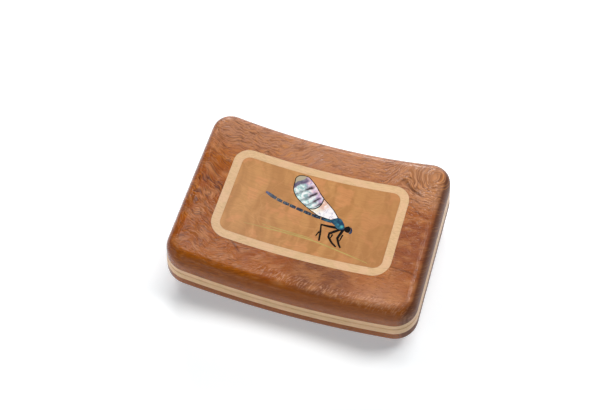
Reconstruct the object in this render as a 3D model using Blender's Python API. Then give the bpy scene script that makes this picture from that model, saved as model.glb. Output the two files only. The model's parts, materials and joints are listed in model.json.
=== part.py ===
"""A curved wooden box for dry flies, with a damselfly inlaid in its lid.

Metres, +Z up, +X along the box, +Y towards the hinges. The box stands on the table at Z = 0, and the
origin is the middle of the narrow flat facet that it rests on. Every layer of the box follows one
bend, about an axis that runs along Y high above the box, so the ends curl up. A place in the box is
therefore given by x, y and h, the height above the underside, measured before the bend.
"""
import math

import bmesh
import bpy
from mathutils import Matrix, Vector

# Driving dimensions of the box.
LENGTH = 0.1144               # along the top edge
WIDTH = 0.0824
THICKNESS = 0.0270
BEND_RADIUS = 0.2300          # of the underside
END_SLOPE = 0.095             # how much further out the ends are, per unit of depth below the top
CORNER = 0.0100               # plan radius of the four corners
WALL = 0.0050

# Heights where one layer ends and the next begins.
FLOOR_TOP = 0.0032
TRAY_TOP = 0.0080
SEAM = 0.0124
LID_RIM_TOP = 0.0159
ROOF_UNDER = 0.0222

BOTTOM_ROUND = (0.0035, 0.0040)      # how far in, how far up
TOP_ROUND = (0.0056, 0.0075)
FIT_GAP = 0.0003                     # between pieces that touch
LAYER_GAP = 0.00015                  # between glued layers of wood
INLAY_GAP = 0.00012                  # round a piece let into the panel

CORNER_STEPS = 6
ROUND_STEPS = 5
SPANS = 21                           # odd, so that a flat facet lies across the middle

# The frame and panel let into the lid.
BORDER_SIZE = (0.0836, 0.0478)
BORDER_CORNER = 0.0080
BORDER_WIDTH = 0.0039
INLAY_DEPTH = 0.0014
POCKET_DEPTH = 0.0007
INLAY_SPAN = 0.0046                  # an inlaid piece bends at every such step along X

# Foam and magnets.
FOAM_BASE = 0.0018
RIDGE_HEIGHT = 0.0025
RIDGES = 11
STEPS_PER_RIDGE = 6
LID_FOAM = 0.0030
MAGNET_X = 0.0400
MAGNET_RADIUS = 0.0015
MAGNET_LENGTH = 0.0020

# Butt hinges.
HINGE_X = 0.0320
LEAF_LENGTH = 0.0140
LEAF_HEIGHT = 0.0076
LEAF_THICKNESS = 0.0006
BORE_RADIUS = 0.00085
PIN_RADIUS = 0.0007
KNUCKLE_HALF = 0.0023
CURL = math.radians(290)
CURL_STEPS = 12
SCREW_X = 0.0042
SCREW_Z = 0.0059
SCREW_HEAD = 0.0011
SCREW_SHANK = 0.00055
SCREW_LENGTH = 0.0036
SCREW_SIDES = 12

FLAT_HALF = (LENGTH / 2 + END_SLOPE * THICKNESS - CORNER) / SPANS
FLAT_SAG = BEND_RADIUS - math.sqrt(BEND_RADIUS ** 2 - FLAT_HALF ** 2)


def lift(x, h):
    """Z of a point h above the underside, at x along the bent box."""
    return BEND_RADIUS - math.sqrt((BEND_RADIUS - h) ** 2 - x ** 2) - FLAT_SAG


def tilt(x, h):
    """Slope angle of the bend there, about Y."""
    return math.asin(x / (BEND_RADIUS - h))


BARREL_RADIUS = BORE_RADIUS + LEAF_THICKNESS
AXIS_Y = WIDTH / 2 + BORE_RADIUS
AXIS_Z = lift(HINGE_X, SEAM)


# Colours, roughness and metallic value of each material.
FINISHES = {
    "figured_mahogany": ((0.36, 0.13, 0.045), 0.30, 0.0),
    "maple": ((0.75, 0.52, 0.29), 0.35, 0.0),
    "quilted_maple": ((0.57, 0.30, 0.13), 0.30, 0.0),
    "paua_shell": ((0.62, 0.70, 0.72), 0.15, 0.2),
    "pearl_shell": ((0.90, 0.84, 0.80), 0.15, 0.1),
    "blue_shell": ((0.02, 0.10, 0.20), 0.20, 0.2),
    "ebony": ((0.015, 0.012, 0.012), 0.35, 0.0),
    "grass_dye": ((0.50, 0.42, 0.12), 0.45, 0.0),
    "brass": ((0.78, 0.57, 0.25), 0.25, 1.0),
    "nickel": ((0.70, 0.70, 0.70), 0.20, 1.0),
    "foam": ((0.80, 0.78, 0.72), 0.90, 0.0),
}


def clear_scene():
    for old in list(bpy.data.objects):
        bpy.data.objects.remove(old, do_unlink=True)


def material(slot):
    found = bpy.data.materials.get(slot)
    if found:
        return found
    colour, roughness, metallic = FINISHES[slot]
    made = bpy.data.materials.new(slot)
    made.use_nodes = True
    shader = made.node_tree.nodes["Principled BSDF"]
    shader.inputs["Base Color"].default_value = (*colour, 1.0)
    shader.inputs["Roughness"].default_value = roughness
    shader.inputs["Metallic"].default_value = metallic
    return made


def finish_mesh(bm, name, slot):
    """Turn a bmesh into a shaded object, with its faces pointing out."""
    bmesh.ops.recalc_face_normals(bm, faces=bm.faces)
    mesh = bpy.data.meshes.new(name)
    bm.to_mesh(mesh)
    bm.free()
    mesh.shade_smooth()
    mesh.set_sharp_from_angle(angle=math.radians(35))
    mesh.materials.append(material(slot))
    made = bpy.data.objects.new(name, mesh)
    bpy.context.scene.collection.objects.link(made)
    return made


def as_cutter(made):
    made.hide_render = True
    made.display_type = 'WIRE'
    return made


def cut(target, *cutters):
    for cutter in cutters:
        modifier = target.modifiers.new("cut_" + cutter.name, 'BOOLEAN')
        modifier.operation = 'DIFFERENCE'
        modifier.solver = 'EXACT'
        modifier.object = cutter


# Rings and lofts: the layers of the box.

def ring(shape, inset, h, spans=SPANS):
    """A rounded rectangle laid on the bend at h, which is a height or a function of x.

    The front row runs to +X and the back row returns, so each front point has a back point at the
    same x, and a cap made of strips between them is flat across the box.
    """
    length, width, corner = shape
    reach_x = length / 2 - corner
    reach_y = width / 2 - corner
    radius = corner - inset
    turns = [math.pi / 2 * step / CORNER_STEPS for step in range(CORNER_STEPS)]
    row = [(-reach_x - radius * math.cos(turn), reach_y + radius * math.sin(turn)) for turn in turns]
    row += [(reach_x * (2 * step / spans - 1), reach_y + radius) for step in range(spans + 1)]
    row += [(-x, y) for x, y in reversed(row[:CORNER_STEPS])]
    height = h if callable(h) else lambda x: h
    front = [Vector((x, -y, lift(x, height(x)))) for x, y in row]
    back = [Vector((x, y, lift(x, height(x)))) for x, y in reversed(row)]
    return front + back


def wall_ring(inset, h, level=None, spans=SPANS):
    """A ring of the box's own outline, whose ends slope outwards below the top."""
    level = h if level is None else level
    length = LENGTH + 2 * END_SLOPE * (THICKNESS - level)
    return ring((length, WIDTH, CORNER), inset, h, spans)


def loft(name, slot, rings, hollow=False):
    """Join rings into a solid with two caps, or into a closed band when hollow."""
    bm = bmesh.new()
    loops = [[bm.verts.new(point) for point in points] for points in rings]
    pairs = list(zip(loops, loops[1:]))
    if hollow:
        pairs.append((loops[-1], loops[0]))
    count = len(loops[0])
    for low, high in pairs:
        for i in range(count):
            j = (i + 1) % count
            bm.faces.new((low[i], low[j], high[j], high[i]))
    if not hollow:
        for loop in (loops[0], loops[-1]):
            for i in range(count // 2 - 1):
                bm.faces.new((loop[i], loop[i + 1], loop[-2 - i], loop[-1 - i]))
    return finish_mesh(bm, name, slot)


def rounded_edge(reach, turn):
    """Inset and drop of a rounded edge, from the face at turn 0 to the side at a quarter turn."""
    inset, drop = reach
    return inset * (1 - math.sin(turn)), drop * (1 - math.cos(turn))


def round_turns():
    return [math.pi / 2 * step / ROUND_STEPS for step in range(ROUND_STEPS + 1)]


def make_base_tray():
    top = TRAY_TOP - LAYER_GAP
    rings = []
    for turn in round_turns():
        inset, rise = rounded_edge(BOTTOM_ROUND, turn)
        rings.append(wall_ring(inset, rise))
    rings.append(wall_ring(0, top))
    rings.append(wall_ring(WALL, top))
    rings.append(wall_ring(WALL, FLOOR_TOP))
    return loft("base_tray", "figured_mahogany", rings)


def make_rim(name, low, high):
    rings = [wall_ring(0, low), wall_ring(0, high), wall_ring(WALL, high), wall_ring(WALL, low)]
    return loft(name, "maple", rings, hollow=True)


def make_lid_shell():
    bottom = LID_RIM_TOP + LAYER_GAP
    rings = [wall_ring(WALL, ROOF_UNDER), wall_ring(WALL, bottom), wall_ring(0, bottom)]
    for turn in reversed(round_turns()):
        inset, drop = rounded_edge(TOP_ROUND, turn)
        rings.append(wall_ring(inset, THICKNESS - drop))
    return loft("lid_shell", "figured_mahogany", rings)


def make_slab(name, slot, size, corner, low, high):
    shape = (*size, corner)
    return loft(name, slot, [ring(shape, 0, low), ring(shape, 0, high)])


# The border, the panel and the pieces let into it.

def make_border():
    shape = (*BORDER_SIZE, BORDER_CORNER)
    low = THICKNESS - INLAY_DEPTH
    rings = [ring(shape, inset, h) for inset, h in
             ((0, low), (0, THICKNESS), (BORDER_WIDTH, THICKNESS), (BORDER_WIDTH, low))]
    return loft("inlay_border", "maple", rings, hollow=True)


def make_panel():
    inset = BORDER_WIDTH + INLAY_GAP
    size = [side - 2 * inset for side in BORDER_SIZE]
    low = THICKNESS - INLAY_DEPTH
    return make_slab("inlay_panel", "quilted_maple", size, BORDER_CORNER - inset, low, THICKNESS)


def make_recess_cutter():
    """Cuts the lid for the border and panel."""
    size = [side + 2 * INLAY_GAP for side in BORDER_SIZE]
    low = THICKNESS - INLAY_DEPTH - LAYER_GAP
    made = make_slab("recess_cutter", "maple", size, BORDER_CORNER, low, THICKNESS + CORNER)
    return as_cutter(made)


def smooth(points, steps=4, closed=False):
    """Points on a Catmull-Rom curve through the given ones."""
    count = len(points)
    spans = count if closed else count - 1
    path = []
    for i in range(spans):
        if closed:
            p0, p1, p2, p3 = (Vector(points[(i + k) % count]) for k in (-1, 0, 1, 2))
        else:
            p0, p1, p2, p3 = (Vector(points[min(max(i + k, 0), count - 1)]) for k in (-1, 0, 1, 2))
        for step in range(steps):
            t = step / steps
            path.append((2 * p1 + (p2 - p0) * t + (2 * p0 - 5 * p1 + 4 * p2 - p3) * t * t
                         + (3 * p1 - p0 - 3 * p2 + p3) * t ** 3) / 2)
    if not closed:
        path.append(Vector(points[-1]))
    return path


def grown(outline, gap):
    """The outline moved outwards by gap. Outlines run anticlockwise."""
    moved = []
    for i, here in enumerate(outline):
        before = (here - outline[i - 1]).normalized()
        after = (outline[(i + 1) % len(outline)] - here).normalized()
        normal = Vector((before.y + after.y, -before.x - after.x)).normalized()
        mitre = max(normal.dot(Vector((after.y, -after.x))), 0.5)
        moved.append(here + normal * gap / mitre)
    return moved


def anticlockwise(outline):
    area = sum(a.x * b.y - b.x * a.y for a, b in zip(outline, outline[1:] + outline[:1]))
    return outline if area > 0 else outline[::-1]


def stroke(points, widths):
    """The outline of a line drawn through points, with its width at each."""
    left, right = [], []
    for i, here in enumerate(points):
        ahead = points[min(i + 1, len(points) - 1)] - points[max(i - 1, 0)]
        side = Vector((-ahead.y, ahead.x)).normalized() * widths[i] / 2
        left.append(here + side)
        right.append(here - side)
    return anticlockwise(right + left[::-1])


def inlay_solid(name, slot, outline, low, high):
    """A flat outline made solid between two heights, and laid along the bend."""
    bm = bmesh.new()
    bm.faces.new([bm.verts.new((point.x, point.y, 0)) for point in outline])
    first = math.ceil(min(point.x for point in outline) / INLAY_SPAN)
    last = math.floor(max(point.x for point in outline) / INLAY_SPAN)
    for step in range(first, last + 1):
        parts = bm.verts[:] + bm.edges[:] + bm.faces[:]
        bmesh.ops.bisect_plane(bm, geom=parts, plane_co=(step * INLAY_SPAN, 0, 0), plane_no=(1, 0, 0))
    grown_parts = bmesh.ops.extrude_face_region(bm, geom=bm.faces[:])["geom"]
    upper = {part for part in grown_parts if isinstance(part, bmesh.types.BMVert)}
    for vert in bm.verts:
        vert.co.z = lift(vert.co.x, high if vert in upper else low)
    return finish_mesh(bm, name, slot)


def inlay(name, slot, outline):
    """A piece flush with the panel, and the cutter of its pocket."""
    outline = anticlockwise(outline)
    floor = THICKNESS - POCKET_DEPTH
    piece = inlay_solid(name, slot, outline, floor, THICKNESS)
    pocket = inlay_solid(name + "_pocket", slot, grown(outline, INLAY_GAP), floor - INLAY_GAP,
                         THICKNESS + CORNER)
    return piece, as_cutter(pocket)


# The damselfly. Its outlines are given in millimetres from the middle of the lid.

def mm(*points):
    return [Vector(point) / 1000 for point in points]


WING_ROOT = mm((9.6, -0.2), (3.4, 0.5), (-1.1, 2.5))
WING_BREAK = mm((-1.1, 2.5), (0.6, 2.9), (2.4, 4.3), (3.5, 6.3), (3.8, 9.2))
WING_FRONT = mm((3.8, 9.2), (1.0, 11.9), (-1.9, 15.1), (-5.4, 18.0), (-7.7, 18.8), (-10.3, 18.3),
                (-11.7, 16.7), (-11.6, 14.6), (-11.5, 12.6), (-10.9, 10.1), (-9.0, 7.4), (-6.7, 5.6),
                (-4.0, 4.0), (-1.1, 2.5))
WING_LEADING = mm((3.8, 9.2), (6.6, 7.1), (9.6, 4.6), (12.4, 1.5))
THORAX = mm((9.9, -0.6), (11.0, 0.5), (12.5, 1.3), (13.9, 1.3), (15.3, 0.0), (16.5, -1.8), (16.8, -3.5),
            (15.5, -4.2), (13.6, -3.9), (11.9, -2.5), (10.4, -1.6))
HEAD = mm((17.1, -3.6), (17.5, -2.3), (18.8, -1.8), (19.5, -3.3), (19.1, -4.7), (17.9, -4.6))
EYE = mm((19.4, -1.9), (20.3, -2.7), (20.7, -4.0), (20.3, -5.3), (19.4, -5.1), (19.8, -3.6))
ABDOMEN_PATH = mm((9.6, -1.1), (5.1, -0.6), (0.4, 0.0), (-3.7, 0.7), (-7.4, 1.3), (-10.7, 1.9), (-14.2, 2.5),
                  (-17.3, 3.2), (-20.2, 4.2), (-22.9, 5.2))
ABDOMEN_JOINTS = (0.0, 4.6, 9.3, 13.4, 17.1, 20.5, 24.0, 27.2, 33.4)
ABDOMEN_WIDTH = 0.00145
JOINT_GAP = 0.00030
LEG_WIDTH = 0.00110
FAR_LEG_WIDTH = 0.00060
NEAR_LEGS = {
    "leg_rear": mm((13.4, -4.3), (10.2, -3.8), (6.1, -3.8), (6.8, -7.4), (7.4, -12.1)),
    "leg_middle": mm((15.2, -4.7), (10.9, -7.3), (11.0, -9.1), (13.3, -11.7), (15.6, -13.3)),
    "leg_front": mm((16.8, -4.5), (15.1, -8.8), (16.5, -11.7), (17.7, -13.3)),
}
FAR_LEGS = {
    "leg_rear_far": mm((6.2, -7.5), (5.3, -10.1)),
    "leg_middle_far": mm((12.5, -7.4), (12.0, -9.6)),
    "leg_front_far": mm((17.0, -6.5), (16.4, -10.0)),
}
GRASS = mm((-27.6, -13.5), (-21.9, -13.0), (-16.6, -12.8), (-8.8, -12.5), (-2.1, -12.5), (4.5, -12.8),
           (11.4, -13.8), (18.0, -15.1), (25.4, -16.7), (31.4, -18.2))
GRASS_WIDTH = 0.00050


def along(path, distance):
    """The point at that distance along a path."""
    for a, b in zip(path, path[1:]):
        span = (b - a).length
        if distance <= span:
            return a.lerp(b, distance / span)
        distance -= span
    return path[-1]


def make_wings():
    """The wing's two halves, the shells of which meet along a curved break."""
    break_line = smooth(WING_BREAK)
    outer = smooth(WING_FRONT) + smooth(WING_BREAK)[1:-1]
    inner = break_line + smooth(WING_LEADING)[1:] + WING_ROOT[:-1]
    return inlay("wing_outer", "paua_shell", outer), inlay("wing_inner", "pearl_shell", inner)


def make_abdomen():
    path = smooth(ABDOMEN_PATH)
    made = []
    for number, (start, end) in enumerate(zip(ABDOMEN_JOINTS, ABDOMEN_JOINTS[1:]), 1):
        start = start / 1000 + JOINT_GAP / 2
        end = end / 1000 - JOINT_GAP / 2
        points = [along(path, start + (end - start) * part) for part in (0, 0.5, 1)]
        outline = stroke(points, (ABDOMEN_WIDTH * 0.92, ABDOMEN_WIDTH, ABDOMEN_WIDTH * 0.92))
        made.append(inlay(f"abdomen_segment_{number}", "blue_shell", outline))
    return made


def make_leg(name, points, width):
    widths = [width * (1 - 0.45 * i / (len(points) - 1)) for i in range(len(points))]
    return inlay(name, "ebony", stroke(points, widths))


def make_grass():
    path = smooth(GRASS, steps=2)
    last = len(path) - 1
    widths = [GRASS_WIDTH * (0.5 + 0.5 * math.sin(math.pi * i / last)) for i in range(last + 1)]
    return inlay("grass_stem", "grass_dye", stroke(path, widths))


def make_damselfly(panel):
    """Every inlaid piece, each in its own pocket of the panel."""
    thorax, thorax_pocket = inlay("thorax", "blue_shell", smooth(THORAX, 2, closed=True))
    head, head_pocket = inlay("head", "ebony", smooth(HEAD, 2, closed=True))
    eye, eye_pocket = inlay("eye", "blue_shell", smooth(EYE, 2, closed=True))
    wings = make_wings()
    (outer, outer_pocket), (inner, inner_pocket) = wings
    cut(outer, inner_pocket)
    cut(inner, thorax_pocket)
    cut(head, eye_pocket)
    near = [make_leg(name, points, LEG_WIDTH) for name, points in NEAR_LEGS.items()]
    far = [make_leg(name, points, FAR_LEG_WIDTH) for name, points in FAR_LEGS.items()]
    for (leg, leg_pocket), (far_leg, _) in zip(near, far):
        cut(leg, thorax_pocket)
        cut(far_leg, leg_pocket)
    abdomen = make_abdomen()
    grass = make_grass()
    pieces = [(thorax, thorax_pocket), (head, head_pocket), (eye, eye_pocket), *wings, *near, *far,
              *abdomen, grass]
    cut(panel, *[pocket for _, pocket in pieces])
    return [piece for piece, _ in pieces]


# Foam.

def foam_top(x):
    """Rounded ridges across the base foam, which grip the hooks of the flies."""
    reach = LENGTH / 2 - CORNER
    if abs(x) >= reach:
        return FLOOR_TOP + FIT_GAP + FOAM_BASE
    wave = 0.5 - 0.5 * math.cos(2 * math.pi * RIDGES * (x + reach) / (2 * reach))
    return FLOOR_TOP + FIT_GAP + FOAM_BASE + RIDGE_HEIGHT * wave


def make_base_foam():
    inset = WALL + FIT_GAP
    bottom = FLOOR_TOP + FIT_GAP
    spans = RIDGES * STEPS_PER_RIDGE
    rings = [wall_ring(inset, bottom, bottom, spans), wall_ring(inset, foam_top, bottom, spans)]
    return loft("base_foam", "foam", rings)


def make_lid_foam():
    inset = WALL + FIT_GAP
    top = ROOF_UNDER - FIT_GAP
    return loft("lid_foam", "foam", [wall_ring(inset, top - LID_FOAM), wall_ring(inset, top)])


# Turned pieces: magnets, pins and screws.

def turned(name, slot, profile, sides, place):
    """A solid of revolution about its own Z, from (radius, z) pairs, moved by a matrix."""
    bm = bmesh.new()
    rings = []
    for radius, z in profile:
        points = [(radius * math.cos(turn), radius * math.sin(turn), z)
                  for turn in (2 * math.pi * side / sides for side in range(sides))]
        rings.append([bm.verts.new(place @ Vector(point)) for point in points])
    for low, high in zip(rings, rings[1:]):
        for i in range(sides):
            j = (i + 1) % sides
            bm.faces.new((low[i], low[j], high[j], high[i]))
    bm.faces.new(rings[0])
    bm.faces.new(rings[-1])
    return finish_mesh(bm, name, slot)


def make_magnet(name, side, top):
    """A disc magnet under the seam, or over it for the lid, and the cutter of its pocket."""
    x = side * MAGNET_X
    y = WALL / 2 - WIDTH / 2
    face = SEAM + (LAYER_GAP if top else -LAYER_GAP)
    away = 1 if top else -1
    place = Matrix.Translation((x, y, lift(x, face))) @ Matrix.Rotation(-tilt(x, face), 4, 'Y')
    disc = [(MAGNET_RADIUS, away * INLAY_GAP), (MAGNET_RADIUS, away * (INLAY_GAP + MAGNET_LENGTH))]
    hole_radius = MAGNET_RADIUS + INLAY_GAP
    hole = [(hole_radius, -away * WALL / 2), (hole_radius, away * (2 * INLAY_GAP + MAGNET_LENGTH))]
    piece = turned(name, "nickel", disc, 16, place)
    return piece, as_cutter(turned(name + "_pocket", "nickel", hole, 16, place))


def screw_profile(gap=0.0):
    head_under = SCREW_HEAD - SCREW_SHANK
    return [(SCREW_SHANK + gap, -SCREW_LENGTH - gap), (SCREW_SHANK + gap, -head_under - gap),
            (SCREW_HEAD + gap, -gap)]


def make_screw(name, x, z):
    """A countersunk screw driven in from behind, and the cutter of its hole."""
    place = Matrix.Translation((x, WIDTH / 2 - INLAY_GAP, z)) @ Matrix.Rotation(-math.pi / 2, 4, 'X')
    mouth = [(SCREW_HEAD + INLAY_GAP, LEAF_THICKNESS)]
    piece = turned(name, "brass", screw_profile(), SCREW_SIDES, place)
    hole = turned(name + "_hole", "brass", screw_profile(INLAY_GAP) + mouth, SCREW_SIDES, place)
    return piece, as_cutter(hole)


# Hinges.

def leaf_sections(up):
    """Inner and outer points of a leaf's strip, from its far edge round the barrel, as (y, z).

    The leaf hangs below the axis, or stands above it when up is 1, and its knuckles curl over the
    pin. The first two sections are the plate; the rest belong to the knuckles only.
    """
    clear = BARREL_RADIUS + FIT_GAP
    sections = [((-BARREL_RADIUS, up * z), (-BORE_RADIUS, up * z)) for z in (LEAF_HEIGHT, clear)]
    for step in range(CURL_STEPS + 1):
        turn = math.pi + CURL * step / CURL_STEPS
        y, z = math.cos(turn), up * math.sin(turn)
        sections.append(((BARREL_RADIUS * y, BARREL_RADIUS * z), (BORE_RADIUS * y, BORE_RADIUS * z)))
    return sections


def make_leaf(name, x, up, knuckles):
    """A leaf whose strip is cut along X at the knuckles. knuckles says which thirds it has."""
    cuts = [-LEAF_LENGTH / 2, -KNUCKLE_HALF - FIT_GAP, -KNUCKLE_HALF, KNUCKLE_HALF, KNUCKLE_HALF + FIT_GAP,
            LEAF_LENGTH / 2]
    has_knuckle = [knuckles[0], False, knuckles[1], False, knuckles[2]]
    sections = leaf_sections(up)
    cells = {(k, j) for k in range(len(sections) - 1) for j in range(len(cuts) - 1)
             if k == 0 or has_knuckle[j]}
    bm = bmesh.new()
    corners = {}

    def corner(k, j, side):
        key = (k, j, side)
        if key not in corners:
            y, z = sections[k][side]
            corners[key] = bm.verts.new((x + cuts[j], AXIS_Y + y, AXIS_Z + z))
        return corners[key]

    for k, j in sorted(cells):
        for side in (0, 1):
            bm.faces.new([corner(k + a, j + b, side) for a, b in ((0, 0), (0, 1), (1, 1), (1, 0))])
        for step, a in ((-1, 0), (1, 1)):
            if (k + step, j) not in cells:
                bm.faces.new([corner(k + a, j + b, side) for b, side in ((0, 0), (1, 0), (1, 1), (0, 1))])
            if (k, j + step) not in cells:
                bm.faces.new([corner(k + b, j + a, side) for b, side in ((0, 0), (1, 0), (1, 1), (0, 1))])
    return finish_mesh(bm, name, "brass")


def make_mortise(name, x):
    """Cuts both halves of the box for one hinge's leaves and barrel."""
    bm = bmesh.new()
    depth = LEAF_THICKNESS + FIT_GAP
    bmesh.ops.create_cube(bm, size=1.0)
    bmesh.ops.scale(bm, verts=bm.verts, vec=(LEAF_LENGTH + 2 * INLAY_GAP, 2 * depth,
                                             2 * (LEAF_HEIGHT + INLAY_GAP)))
    bmesh.ops.translate(bm, verts=bm.verts, vec=(x, WIDTH / 2, AXIS_Z))
    return as_cutter(finish_mesh(bm, name, "brass"))


def make_pin(name, x):
    half = LEAF_LENGTH / 2
    bevel = PIN_RADIUS / 3
    end = half + bevel
    place = Matrix.Translation((x, AXIS_Y, AXIS_Z)) @ Matrix.Rotation(math.pi / 2, 4, 'Y')
    profile = [(PIN_RADIUS - bevel, -end), (PIN_RADIUS, -half), (PIN_RADIUS, half), (PIN_RADIUS - bevel, end)]
    return turned(name, "brass", profile, SCREW_SIDES, place)


def make_hinge(side, base_wood, lid_wood):
    """One hinge, let into the back. Returns the pieces that turn with the lid."""
    label = "right" if side > 0 else "left"
    x = side * HINGE_X
    base_leaf = make_leaf(f"hinge_{label}_base_leaf", x, -1, (True, False, True))
    lid_leaf = make_leaf(f"hinge_{label}_lid_leaf", x, 1, (False, True, False))
    make_pin(f"hinge_{label}_pin", x)
    mortise = make_mortise(f"hinge_{label}_mortise", x)
    cut(base_wood[0], mortise)
    cut(base_wood[1], mortise)
    cut(lid_wood[0], mortise)
    cut(lid_wood[1], mortise)
    moving = [lid_leaf]
    for number, offset in enumerate((-SCREW_X, SCREW_X), 1):
        _, hole = make_screw(f"screw_{label}_base_{number}", x + offset, AXIS_Z - SCREW_Z)
        cut(base_leaf, hole)
        cut(base_wood[0], hole)
        screw, hole = make_screw(f"screw_{label}_lid_{number}", x + offset, AXIS_Z + SCREW_Z)
        cut(lid_leaf, hole)
        cut(lid_wood[0], hole)
        moving.append(screw)
    return moving


def hang_on_pivot(pieces):
    """Parent the lid's pieces to an empty on the hinge axis."""
    pivot = bpy.data.objects.new("lid_pivot", None)
    pivot.location = (0, AXIS_Y, AXIS_Z)
    bpy.context.scene.collection.objects.link(pivot)
    for piece in pieces:
        piece.parent = pivot
        piece.matrix_parent_inverse = Matrix.Translation(-pivot.location)


def main():
    clear_scene()
    base_tray = make_base_tray()
    base_rim = make_rim("base_rim", TRAY_TOP + LAYER_GAP, SEAM - LAYER_GAP)
    lid_rim = make_rim("lid_rim", SEAM + LAYER_GAP, LID_RIM_TOP - LAYER_GAP)
    lid_shell = make_lid_shell()
    cut(lid_shell, make_recess_cutter())
    panel = make_panel()
    moving = [lid_shell, lid_rim, make_border(), panel, make_lid_foam()]
    moving += make_damselfly(panel)
    make_base_foam()
    for side, label in ((-1, "left"), (1, "right")):
        _, pocket = make_magnet(f"base_magnet_{label}", side, top=False)
        cut(base_rim, pocket)
        magnet, pocket = make_magnet(f"lid_magnet_{label}", side, top=True)
        cut(lid_rim, pocket)
        moving.append(magnet)
        moving += make_hinge(side, (base_tray, base_rim), (lid_shell, lid_rim))
    hang_on_pivot(moving)


main()
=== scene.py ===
"""The looks of a curved wooden fly box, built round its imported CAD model.

Metres, +Z up, +X along the box, +Y towards the hinges. A place in the box is given by x, y and h, the
height above the underside measured before the box is bent, as in the model itself.
"""
import functools
import json
import math

import bmesh
import bpy
from mathutils import Matrix, Vector


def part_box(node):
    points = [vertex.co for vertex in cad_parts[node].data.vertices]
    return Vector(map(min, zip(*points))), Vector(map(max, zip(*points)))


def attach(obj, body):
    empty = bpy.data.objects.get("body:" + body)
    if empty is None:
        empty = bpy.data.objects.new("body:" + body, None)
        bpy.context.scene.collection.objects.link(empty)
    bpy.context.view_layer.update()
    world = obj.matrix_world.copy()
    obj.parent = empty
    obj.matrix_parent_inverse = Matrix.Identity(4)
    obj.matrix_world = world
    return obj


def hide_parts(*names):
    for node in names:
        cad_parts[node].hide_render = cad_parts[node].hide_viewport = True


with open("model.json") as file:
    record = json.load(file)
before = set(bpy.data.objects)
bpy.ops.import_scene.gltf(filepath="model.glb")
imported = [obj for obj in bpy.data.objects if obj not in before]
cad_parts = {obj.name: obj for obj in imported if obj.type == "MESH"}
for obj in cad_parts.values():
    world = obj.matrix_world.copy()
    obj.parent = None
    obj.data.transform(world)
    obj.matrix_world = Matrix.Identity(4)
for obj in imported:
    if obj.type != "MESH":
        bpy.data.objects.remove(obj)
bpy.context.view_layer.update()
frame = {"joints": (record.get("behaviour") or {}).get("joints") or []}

# The box, as the model has it.
WIDTH = 2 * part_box("lid_rim")[1].y
LENGTH = 0.11434  # along the top edge
THICKNESS = 0.02695
BEND_RADIUS = 0.2300
END_SLOPE = 0.095
CORNER = 0.0100
WALL = 0.0050
FLOOR_TOP = 0.0032
TRAY_TOP = 0.0080
SEAM = 0.0124
LID_RIM_TOP = 0.0159
ROOF_UNDER = 0.0222
BOTTOM_ROUND = (0.0035, 0.0040)
TOP_ROUND = (0.0056, 0.0075)
CAD_SPANS = 21  # the flat stretches that the model's bend is made of

GLUE_LINE = 0.00001  # between glued layers
SEAM_BEVEL = 0.00034
SEAM_OPENING = 0.00008  # half the gap between lid and base
CAVITY_FILLET = 0.0012

BORDER_SIZE = (0.0836, 0.0478)
BORDER_CORNER = 0.0080
BORDER_WIDTH = 0.0039
INLAY_DEPTH = 0.0014
POCKET_DEPTH = 0.0007
JOINT_LINE = 0.00004  # round each inlaid piece
WING_LINE = 0.00036  # the dark line round the wing
BREAK_LINE = 1.4 * WING_LINE  # the same between its two shells
RESIN_DROP = 0.00001
ABOVE = THICKNESS + CORNER  # clear of the lid, where cutters end

# How finely the bend, the corners, the roundings and the inlaid pieces are divided.
SPANS = 63
CORNER_STEPS = 12
ROUND_STEPS = 12
CAVITY_STEPS = 4
INLAY_SPAN = 0.0012
CURVE_STEPS = 6
WING_STEPS = 8

# Foam and magnets.
FOAM_BASE = 0.0018
RIDGE_HEIGHT = 0.0025
RIDGES = 11
STEPS_PER_RIDGE = 30
SLIT_DEPTH = 0.0011
LID_FOAM = 0.0030
LID_SLITS = 12
FOAM_GAP = 0.0003
FOAM_EDGE = 0.0003
# The soft edge of a foam face: how far in and how far short of the face, as shares of its size.
FOAM_EDGE_PROFILE = ((0.0, 1.0), (0.3, 0.3), (1.0, 0.0))
MAGNET_X = 0.0400
MAGNET_RADIUS = 0.0015
MAGNET_LENGTH = 0.0020
MAGNET_BEVEL = MAGNET_RADIUS / 12
MAGNET_SINK = 0.00006  # how far it is under the face of the rim
MAGNET_SIDES = 48

# Butt hinges.
HINGE_X = 0.0320
LEAF_LENGTH = 0.0140
LEAF_HEIGHT = 0.0076
LEAF_THICKNESS = 0.0006
LEAF_BEVEL = 0.00005
LEAF_SHARP = math.radians(50)  # edges sharper than this are bevelled
BORE_RADIUS = 0.00085
BARREL_RADIUS = BORE_RADIUS + LEAF_THICKNESS - 0.00003
PIN_RADIUS = 0.0007
KNUCKLE_HALF = 0.0023
KNUCKLE_GAP = 0.0002
CURL = math.radians(290)
CURL_STEPS = 36
SCREW_X = 0.0042
SCREW_Z = 0.0059
SCREW_HEAD = 0.0011
SCREW_SHANK = 0.00055
SCREW_LENGTH = 0.0036
SCREW_SINK = 0.00012  # how far the head is under the face of the leaf
SCREW_RIM = (0.00005, 0.00003)  # the rim of the head: how far in, and how far up
SLOT_WIDTH = 0.00028
SLOT_DEPTH = 0.00025
# The way each slot points, in degrees: a turn for the body and the side, and one more for each number.
SLOT_TURNS = {"base": 12, "lid": 61, "left": 40, "right": 0}
SLOT_STEP = 23
TURNED_SIDES = 32
DOME_ANGLES = (0, 20, 40, 60, 80)
DOME_RISE = 0.33  # of the pin's radius

# The middle flat stretch, on which the box rests: half its length, and how far it is above a true bend.
FLAT_HALF = (LENGTH / 2 + END_SLOPE * THICKNESS - CORNER) / CAD_SPANS
FLAT_SAG = BEND_RADIUS - math.sqrt(BEND_RADIUS ** 2 - FLAT_HALF ** 2)
HINGE_AXIS = Vector(frame["joints"][0]["pos_m"])


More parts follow.
